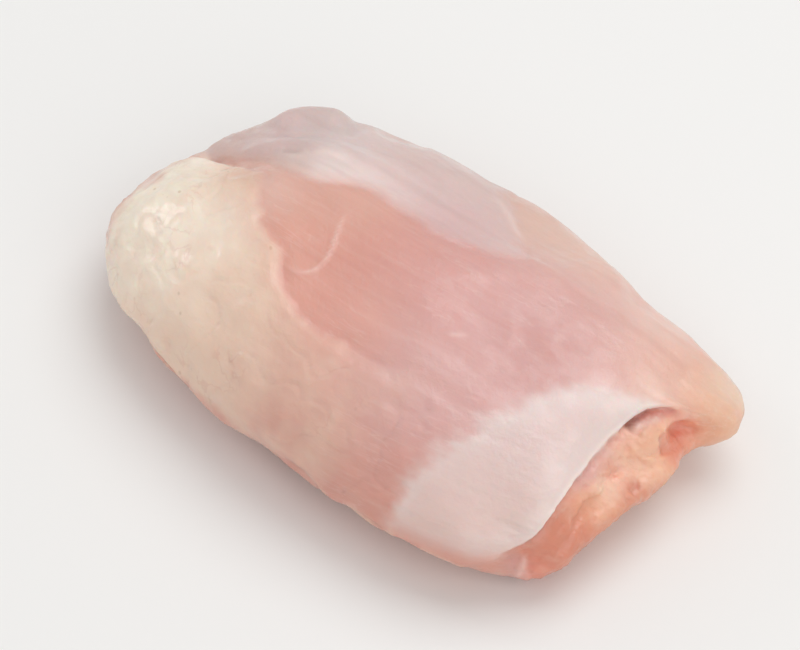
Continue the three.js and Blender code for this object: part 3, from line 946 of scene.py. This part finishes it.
def makeRawFlesh(look):
    material = bpy.data.materials.new("rawFlesh")
    material.use_nodes = True
    tree = material.node_tree
    shader = tree.nodes["Principled BSDF"]
    tint = {name: (*linear(code), 1) for name, code in look.items() if isinstance(code, str)}
    place = mask(tree, "flow", "Vector")
    muscle = useGroup(tree, muscleGrain, Flow=place)
    fatty = useGroup(tree, fatGrain, Place=place)
    moist = useGroup(tree, moistSkin, Place=place)

    def part(value, share):  # a mask weakened to its share
        return sums(tree, "MULTIPLY", value, look[share])

    def streaked(colour, value, low, high, name):  # a second colour where the value goes from low to high
        return blend(tree, span(tree, value, low, high, 0.0, look[name + "Share"]), colour, tint[name])

    colour = streaked(mask(tree, "tone", "Color"), muscle["Streak"], 0.4, 0.8, "streakPale")
    colour = streaked(colour, muscle["Bundle"], 0.55, 0.25, "bundleDeep")
    cutFlesh = streaked(mask(tree, "endTone", "Color"), muscle["Bundle"], 0.5, 0.8, "cutPale")
    cutFlesh = streaked(cutFlesh, muscle["Streak"], 0.5, 0.2, "cutDeep")
    colour = blend(tree, mask(tree, "cut"), colour, cutFlesh)
    silverSkin = streaked(mask(tree, "silverTone", "Color"), muscle["Bundle"], 0.5, 0.25, "silverDeep")
    colour = blend(tree, part(mask(tree, "silver"), "silverShare"), colour, silverSkin)
    colour = blend(tree, part(mask(tree, "membrane"), "membraneShare"), colour, tint["membrane"])

    fatTone = streaked(mask(tree, "fatTone", "Color"), fatty["Lobule"], 0.0, 1.2, "fatDeep")
    fatTone = blend(tree, part(fatty["Vessel"], "vesselShare"), fatTone, tint["vessel"])
    fatTone = blend(tree, part(fatty["Speck"], "speckShare"), fatTone, tint["speck"])
    colour = blend(tree, mask(tree, "fat"), colour, fatTone)

    colour = blend(tree, part(muscle["Hairline"], "hairlineShare"), colour, tint["hairline"])
    # pale threads, and painted highlights on a streak, a fleck and the rim of the lump
    colour = blend(tree, part(mask(tree, "thread"), "threadShare"), colour, tint["hairline"])
    # red of blood, with painted shade in the creases and the gap under the lip
    colour = blend(tree, mask(tree, "blood"), colour, tint["blood"])
    # painted shade in hollows, weaker on the cut end
    hollowShare = span(tree, mask(tree, "cut"), 0, 1, look["hollowShare"], look["hollowInCut"])
    colour = blend(tree, sums(tree, "MULTIPLY", mask(tree, "hollow"), hollowShare), colour, tint["hollow"])
    # painted shade in the gap under the lip and in a seam crease
    colour = blend(tree, mask(tree, "shade"), colour, tint["shade"])
    feed(tree, shader.inputs["Base Color"], colour)

    dry, wet = look["roughness"] + look["roughnessSpread"], look["roughness"] - look["roughnessSpread"]
    feed(tree, shader.inputs["Roughness"], span(tree, moist["Wet"], 0, 1, dry, wet))
    feed(tree, shader.inputs["Coat Weight"], span(tree, moist["Wet"], 0, 1, look["dryCoat"], look["wetCoat"]))
    shader.inputs["Coat Roughness"].default_value = look["coatRoughness"]
    shader.inputs["Subsurface Weight"].default_value = look["subsurface"]
    shader.inputs["Subsurface Radius"].default_value = look["subsurfaceRadius"]
    shader.inputs["Subsurface Scale"].default_value = look["subsurfaceScale"]

    covered = sums(tree, "MAXIMUM", mask(tree, "membrane"), mask(tree, "fat"))
    covered = sums(tree, "MAXIMUM", covered, mask(tree, "silver"))
    fibreShare = span(tree, covered, 0, 0.7, look["bareFibres"], look["coveredFibres"])
    fibres = sums(tree, "MULTIPLY", muscle["Height"], fibreShare)
    bump = tree.nodes.new("ShaderNodeBump")
    bump.inputs["Strength"].default_value = look["bumpStrength"]
    bump.inputs["Distance"].default_value = look["bumpDistance"]
    feed(tree, bump.inputs["Height"], sums(tree, "ADD", fibres, moist["Height"]))
    feed(tree, shader.inputs["Normal"], bump.outputs[0])
    return material


thighFlesh.data.materials.clear()
thighFlesh.data.materials.append(makeRawFlesh(rawFleshLook))
print("stage: material")

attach(thighFlesh, "root")
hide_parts("thigh")


# Floor, light and camera

studio = {
    "floorTone": "#f4f3f1",
    "floorSize": 4,
    "floorRoughness": 0.8,
    "surroundings": 0.54,
    "azimuth": 42.7,
    "elevation": 48.2,
    "distance": 0.5675,
    "lens": 165.0,
    "clipStart": 0.01,
    "aim": (0.0, 0.0, 0.012),
    "lights": {  # place, size and power
        "keyLight": ((0.02, 0.36, 0.78), 0.75, 2.7),
        "fillLight": ((0.62, -0.3, 0.55), 0.8, 1.9),
        "glintLight": ((-0.7, -0.1, 0.36), 0.18, 0.38),
    },
}


def makeStudio():
    bpy.ops.object.select_all(action="DESELECT")
    bpy.ops.mesh.primitive_plane_add(size=studio["floorSize"], location=(0, 0, 0))
    floor = bpy.context.active_object
    floor.name = "floor"
    tone = bpy.data.materials.new("paleFloor")
    tone.use_nodes = True
    shader = tone.node_tree.nodes["Principled BSDF"]
    shader.inputs["Base Color"].default_value = (*linear(studio["floorTone"]), 1)
    shader.inputs["Roughness"].default_value = studio["floorRoughness"]
    floor.data.materials.append(tone)

    world = bpy.data.worlds.new("studio")
    bpy.context.scene.world = world
    world.use_nodes = True
    background = world.node_tree.nodes["Background"]
    background.inputs["Color"].default_value = (1, 1, 1, 1)
    background.inputs["Strength"].default_value = studio["surroundings"]

    for name, (place, size, power) in studio["lights"].items():
        bpy.ops.object.light_add(type="AREA", location=place)
        light = bpy.context.active_object
        light.name = name
        light.data.shape = "DISK"
        light.data.size = size
        light.data.energy = power
        aim = Vector(studio["aim"]) - Vector(place)
        light.rotation_euler = aim.to_track_quat("-Z", "Y").to_euler()

    bpy.ops.object.camera_add()
    camera = bpy.context.active_object
    azimuth, elevation = math.radians(studio["azimuth"]), math.radians(studio["elevation"])
    back = Vector((math.sin(azimuth) * math.cos(elevation), -math.cos(azimuth) * math.cos(elevation),
                   math.sin(elevation)))
    camera.location = Vector(studio["aim"]) + back * studio["distance"]
    camera.rotation_euler = (-back).to_track_quat("-Z", "Y").to_euler()
    camera.data.lens = studio["lens"]
    camera.data.clip_start = studio["clipStart"]
    bpy.context.scene.camera = camera
    bpy.context.scene.view_settings.view_transform = "Standard"


makeStudio()
print("stage: studio")
